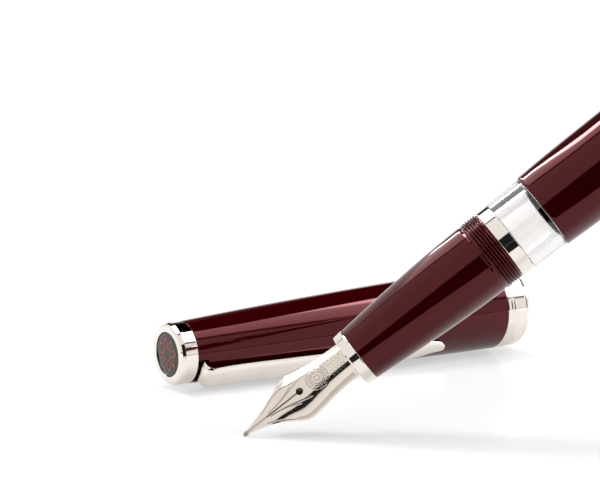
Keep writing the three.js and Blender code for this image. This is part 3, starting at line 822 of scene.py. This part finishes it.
def build_piston():
    profile = [(0, PISTON_FRONT), (PISTON_R, PISTON_FRONT)]
    for groove in SEAL_GROOVES:
        y = PISTON_FRONT + groove
        profile += [(PISTON_R, y), (3.3, y), (3.3, y + GROOVE_WIDTH), (PISTON_R, y + GROOVE_WIDTH)]
    back = PISTON_FRONT + PISTON_LENGTH
    profile += [(PISTON_R, back), (0, back)]
    revolve("piston_head_turned", PEN, profile, "piston", ["piston_head"], GREY, INSIDE, 0.12)
    for name, node, groove in (
        ("seal_front_lip", "piston_seal_front", SEAL_GROOVES[0]),
        ("seal_rear_lip", "piston_seal_rear", SEAL_GROOVES[1]),
    ):
        y = PISTON_FRONT + groove
        low, high = y + 0.06, y + GROOVE_WIDTH - 0.06
        revolve(
            name, PEN, [(3.38, low), (CHAMBER_R - 0.1, low), (CHAMBER_R - 0.1, high), (3.38, high)],
            "piston", [node], RUBBER, INSIDE, 0.25,
        )
    start = back + JOINT
    bore = SPINDLE_R + 0.15
    revolve(
        "piston_rod_turned", PEN,
        [(0, start), (ROD_R, start), (ROD_R, ROD_END), (bore, ROD_END), (bore, start + 3), (0, start + 3)],
        "piston", ["piston_rod"], GREY, INSIDE, 0.1,
    )


# ---------------------------------------------------------------- cap


def cap_radius(station):
    share = (station - FINIAL_LENGTH) / (BAND_START - FINIAL_LENGTH)
    return FINIAL_R + CAP_TAPER * share + CAP_BULGE * 4 * share * (1 - share)


def build_finial():
    back = FINIAL_LENGTH - JOINT
    screw, head = 1.3, 2.5
    inner = EMBLEM_R + JOINT
    revolve(
        "finial_ring_polished", CAP,
        [(inner, 0.04), (3.7, 0), (4.5, 0), (4.82, 0.22), (FINIAL_R, 0.75), (FINIAL_R, back), (screw, back),
         (screw, 2), (head, 2), (head, 0.95), (inner, 0.95)],
        "cap", ["finial_ring"], CHROME, edge=0.05,
    )
    face = EMBLEM_FACE
    revolve(
        "finial_enamel", CAP,
        [(0, face), (1.5, face + 0.005), (2.6, face + 0.02), (3.3, face + 0.06), (EMBLEM_R, face + 0.12),
         (EMBLEM_R, 0.85), (0, 0.85)],
        "cap", ["finial_emblem"], ENAMEL, edge=0.04,
    )


def build_rosette():
    """An eight-petalled flower of thin inlaid outlines, generic, standing a hair proud of the enamel."""
    petals, around = 8, 40
    points, faces = [], []
    top, bottom = EMBLEM_FACE - 0.03, EMBLEM_FACE + 0.04
    for petal in range(petals):
        turn = 2 * math.pi * petal / petals
        first = len(points)
        for k in range(around):
            angle = 2 * math.pi * k / around
            for length, width in ((0.98, 0.56), (0.66, 0.3)):
                along = 1.75 + length * math.cos(angle)
                across = width * math.sin(angle) * (1 + 0.25 * math.cos(angle))
                x = along * math.sin(turn) + across * math.cos(turn)
                z = along * math.cos(turn) - across * math.sin(turn)
                points += [(x, top, z), (x, bottom, z)]
        for k in range(around):
            here, on = first + 4 * k, first + 4 * ((k + 1) % around)
            for a, b in ((0, 1), (1, 3), (3, 2), (2, 0)):
                faces.append((here + a, here + b, on + b, on + a))
    piece("finial_rosette", CAP, points, outwards(points, faces), "cap", [], COPPER)


def build_cap():
    screw_hole, recess, recess_end, neck = 1.28, 3.85, 3.8, 6.6
    stations = np.linspace(FINIAL_LENGTH, BAND_START - JOINT, 72)
    outline = [(cap_radius(t), t) for t in stations]
    shell = revolve(
        "cap_shell", CAP,
        [(recess, FINIAL_LENGTH), *outline, (neck, BAND_START - JOINT), (neck, CAP_LENGTH - 1.15),
         (MOUTH_R, CAP_LENGTH - 1.15), (MOUTH_R, INSERT_START), (5.76, INSERT_START), (5.0, LINER_END + 0.4),
         (LINER_R, LINER_END), (LINER_R, LINER_START), (screw_hole, LINER_START), (screw_hole, recess_end),
         (recess, recess_end)],
        "cap", ["cap_barrel"], RESIN, edge=0.04,
    )
    cut_box(shell, (-SLOT_WIDTH / 2, FINIAL_LENGTH - 1, 3.6), (SLOT_WIDTH / 2, SLOT_END, 7.6))
    inner, groove = 6.68, 6.96
    bead, end_bead = BAND_START + 0.7, CAP_LENGTH - 0.85
    revolve(
        "lip_band_beaded", CAP,
        [(inner, BAND_START), (7.03, BAND_START), (7.12, BAND_START + 0.15), (7.12, bead - 0.16),
         (groove, bead - 0.04), (groove, bead + 0.12), (BAND_R + 0.03, bead + 0.24),
         (BAND_R + 0.03, bead + 0.5), (groove, bead + 0.6), (groove, bead + 0.72), (BAND_R, bead + 0.84),
         (BAND_R, end_bead - 0.22), (groove, end_bead - 0.1), (groove, end_bead),
         (BAND_R - 0.01, end_bead + 0.12), (6.98, end_bead + 0.5), (6.75, CAP_LENGTH), (6.4, CAP_LENGTH),
         (MOUTH_R, CAP_LENGTH - 0.15), (MOUTH_R, CAP_LENGTH - 1.1), (inner, CAP_LENGTH - 1.1)],
        "cap", ["cap_lip_band"], CHROME, edge=0.05,
    )
    start, end, outer = INSERT_START + JOINT, INSERT_START + INSERT_LENGTH, MOUTH_R - GAP
    thread = (start + 0.1, end - 0.1)
    revolve(
        "cap_insert_threaded", CAP,
        [(INSERT_ROOT, start), *thread_rows(INSERT_ROOT, *thread), (INSERT_ROOT, end),
         (outer, end), (outer, start)],
        "cap", ["cap_thread_insert"], BLACK, INSIDE, 0.04,
        relief=thread_relief(INSERT_ROOT, INSERT_CREST, *thread),
    )
    outer, inner = LINER_R - GAP, 4.25
    start, end = LINER_START + 0.2, LINER_END - 0.2
    revolve(
        "cap_liner_cup", CAP,
        [(0, start), (outer, start), (outer, end), (inner + 0.15, end), (inner, end - 0.4),
         (inner, start + 0.6), (0, start + 0.6)],
        "cap", ["cap_inner_liner"], BLACK, INSIDE, 0.1,
    )


def build_clip():
    """A crowned strap that rises out of the slot, bends round a tight radius and ends in a small foot."""
    flat = CLIP_THICKNESS

    def over(t, gap):
        return cap_radius(t) + gap + flat / 2

    stations = [
        (CLIP_ROOT, 3.95, CLIP_WIDTH, flat),
        (CLIP_ROOT, 5.2, CLIP_WIDTH, flat),
        (CLIP_ROOT + 0.12, 5.85, CLIP_WIDTH, flat),
        (CLIP_ROOT + 0.6, 6.4, CLIP_WIDTH + 0.05, flat),
        (CLIP_ROOT + 1.6, 6.62, CLIP_WIDTH + 0.1, flat),
        (10, over(10, CLIP_GAP), 4.2, flat),
        (17, over(17, CLIP_GAP), 4.4, flat),
        (25, over(25, CLIP_GAP), 4.5, flat),
        (33, over(33, CLIP_GAP), 4.3, flat),
        (39, over(39, CLIP_GAP), 3.85, flat),
        (43.5, over(43.5, CLIP_GAP - 0.2), 3.3, flat),
        (46.7, over(46.7, 0.18), 2.8, flat - 0.1),
        (48.1, over(48.1, 0.12), 2.4, flat - 0.2),
        (49.1, over(49.1, 0.3), 1.8, flat - 0.35),
        (49.6, over(49.6, 0.5), 1.0, flat - 0.6),
    ]
    rows = np.array(spline(stations, 14 * 10 + 1))
    slopes = np.gradient(rows[:, :2], axis=0)
    slopes /= np.linalg.norm(slopes, axis=1)[:, None]
    across = np.sin(np.linspace(-0.5, 0.5, 25) * math.pi)
    reach = np.abs(across)
    crown = np.stack([across, 0.15 + 0.85 * (1 - reach**3.2) - 0.35 * reach**10], axis=1)
    under = np.stack([across[::-1], -0.35 - 0.65 * (1 - reach[::-1] ** 12)], axis=1)
    section = np.vstack([crown, under])
    rings = []
    for (t, height, width, thickness), (dt, dh) in zip(rows, slopes):
        rise = section[:, 1] * thickness / 2
        rings.append(np.stack([section[:, 0] * width / 2, t - dh * rise, height + dt * rise], axis=1))
    loft("clip_polished", CAP, rings, "clip", ["clip"], CHROME)


build_nib()
build_feed()
build_pen()
build_knob()
build_piston()
build_finial()
build_rosette()
build_cap()
build_clip()

# ---------------------------------------------------------------- floor and studio


def build_floor():
    """A white table top that reaches past the edges of the view. It glows a little, so shadows stay pale."""
    half = 4.0
    mesh = bpy.data.meshes.new("table_top")
    corners = [(-half, -half, 0), (half, -half, 0), (half, half, 0), (-half, half, 0)]
    mesh.from_pydata(corners, [], [(0, 1, 2, 3)])
    material, shader, nodes = surface(
        "white_table", Base_Color=(0.3, 0.3, 0.3, 1), IOR=1.5, Specular_IOR_Level=0.04,
        Emission_Color=(1, 1, 1, 1), Emission_Strength=0.52,
    )
    cloud = nodes.noise(nodes.place(), 25.0)
    nodes.feed(nodes.step(cloud, 0.3, 0.7, 0.12, 0.16), shader.inputs["Roughness"])
    mesh.materials.append(material)
    floor = bpy.data.objects.new("table_top", mesh)
    bpy.context.scene.collection.objects.link(floor)
    floor.location.z = -0.0001
    floor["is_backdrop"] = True


def build_dark_front():
    """The dark room in front of the table, which only reflections see."""
    near, far, half, height = TABLE_FRONT, 3.0, 2.5, 0.0006
    corners = [
        -AHEAD * near - RIGHT * half, -AHEAD * near + RIGHT * half,
        -AHEAD * far + RIGHT * half, -AHEAD * far - RIGHT * half,
    ]
    mesh = bpy.data.meshes.new("dark_front")
    mesh.from_pydata([(c.x, c.y, height) for c in corners], [], [(0, 1, 2, 3)])
    material, shader, nodes = surface("dark_room", Specular_IOR_Level=0.0, Roughness=1.0)
    cloud = nodes.noise(nodes.place(), 3.0)
    dark = nodes.blend(cloud, (0.004, 0.004, 0.004, 1), (0.008, 0.008, 0.008, 1))
    nodes.feed(dark, shader.inputs["Base Color"])
    mesh.materials.append(material)
    card = bpy.data.objects.new("dark_front", mesh)
    bpy.context.scene.collection.objects.link(card)
    card.visible_camera = False
    card.visible_shadow = False
    card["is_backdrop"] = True


def build_studio():
    """Light as a function of direction, on a level plane one unit up, with measures sideways and ahead.

    A pale room with a long softbox overhead, which has a bright strip along its rear edge, a thin dark
    rim along its front edge and a dark gap right of its middle. Behind it is a dark wall above the
    backdrop, and a dark zone surrounds the camera.
    """
    world = bpy.data.worlds.new("studio")
    bpy.context.scene.world = world
    world.use_nodes = True
    nodes = Nodes(world.node_tree)
    direction = nodes.add("ShaderNodeTexCoord").outputs["Generated"]
    up = nodes.dot(direction, (0, 0, 1))
    high = nodes.math("MAXIMUM", up, 0.02)
    sideways = nodes.math("DIVIDE", nodes.dot(direction, RIGHT), high)
    ahead = nodes.math("DIVIDE", nodes.dot(direction, AHEAD), high)
    overhead = nodes.step(up, 0.25, 0.35)

    def past_edge(*lines):
        """How far ahead a direction is of an edge of two straight lines, each a slope and an offset."""
        edges = [nodes.math("MULTIPLY_ADD", sideways, slope, offset) for slope, offset in lines]
        return nodes.math("SUBTRACT", ahead, nodes.math("MAXIMUM", *edges))

    behind = past_edge((-0.15, 0.55), (-5.6, -3.1))
    inside = past_edge((-0.2, -0.2), (-1.29, -0.93))
    gap_sides = nodes.times(nodes.step(sideways, 0.0, 0.05), nodes.step(sideways, 0.47, 0.44))
    gap = nodes.rest(nodes.times(gap_sides, nodes.step(ahead, 0.09, 0.14), overhead))
    wall = nodes.times(nodes.step(behind, 0.03, 0.08), nodes.step(up, 0.26, 0.34))
    wall = nodes.times(nodes.rest(nodes.times(wall, WALL_DARKNESS)), gap)

    pen_axis = PEN.to_3x3().col[1]
    across_pen = pen_axis.cross(AHEAD).normalized()
    if across_pen.z > 0:
        across_pen = -across_pen
    down_pen = nodes.dot(direction, across_pen)
    along_pen = nodes.math("ABSOLUTE", nodes.dot(direction, pen_axis))
    front = nodes.times(nodes.step(down_pen, -0.4, -0.34), nodes.step(along_pen, 0.62, 0.5))
    front = nodes.times(front, nodes.step(nodes.dot(direction, AHEAD), -0.3, -0.5))
    front = nodes.rest(nodes.times(front, FRONT_DARKNESS))

    left_end = nodes.step(sideways, -1.02, -0.95)
    softbox = nodes.times(nodes.step(behind, 0.08, 0.02), nodes.step(inside, 0.02, 0.1))
    softbox = nodes.times(softbox, overhead, gap, left_end)
    glow = nodes.step(behind, -0.9, 0.0, *SOFTBOX_LEVELS)
    strip = nodes.times(nodes.step(behind, -0.34, -0.24), nodes.step(behind, 0.02, -0.03))
    strip = nodes.times(strip, overhead, gap, left_end, nodes.step(sideways, 0.3, -0.5, *STRIP_LEVELS))
    rim = nodes.times(nodes.step(inside, -0.1, -0.04), nodes.step(inside, 0.05, 0.0), overhead)
    rim = nodes.rest(nodes.times(rim, RIM_DARKNESS))

    room = nodes.times(wall, front, rim, ROOM_LEVEL)
    light = nodes.math("ADD", nodes.times(room, nodes.rest(softbox)), nodes.times(softbox, glow))
    light = nodes.math("ADD", light, strip)
    camera_ray = nodes.add("ShaderNodeLightPath").outputs["Is Camera Ray"]
    light = nodes.math("ADD", nodes.times(light, nodes.rest(camera_ray)), camera_ray)
    background = world.node_tree.nodes["Background"]
    nodes.feed(light, background.inputs["Strength"])
    background.inputs["Color"].default_value = (1, 1, 1, 1)
    world.cycles.sampling_method = "MANUAL"
    world.cycles.sample_map_resolution = 1024


def build_camera():
    camera = bpy.data.objects.new("camera", bpy.data.cameras.new("camera"))
    bpy.context.scene.collection.objects.link(camera)
    camera.data.lens = LENS
    camera.data.sensor_width = SENSOR
    camera.data.clip_start = 0.01
    camera.data.clip_end = 20
    camera.location = CAMERA_AT
    camera.rotation_euler = (math.pi / 2 + CAMERA_PITCH, 0, CAMERA_HEADING - math.pi / 2)
    bpy.context.scene.camera = camera


build_floor()
build_dark_front()
build_studio()
build_camera()
bpy.context.scene.view_settings.view_transform = "Standard"
bpy.context.view_layer.update()


def plain(bounds):
    return [[float(value) for value in corner] for corner in bounds]


{"cad": plain(cad_bounds), "visual": plain(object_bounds())}
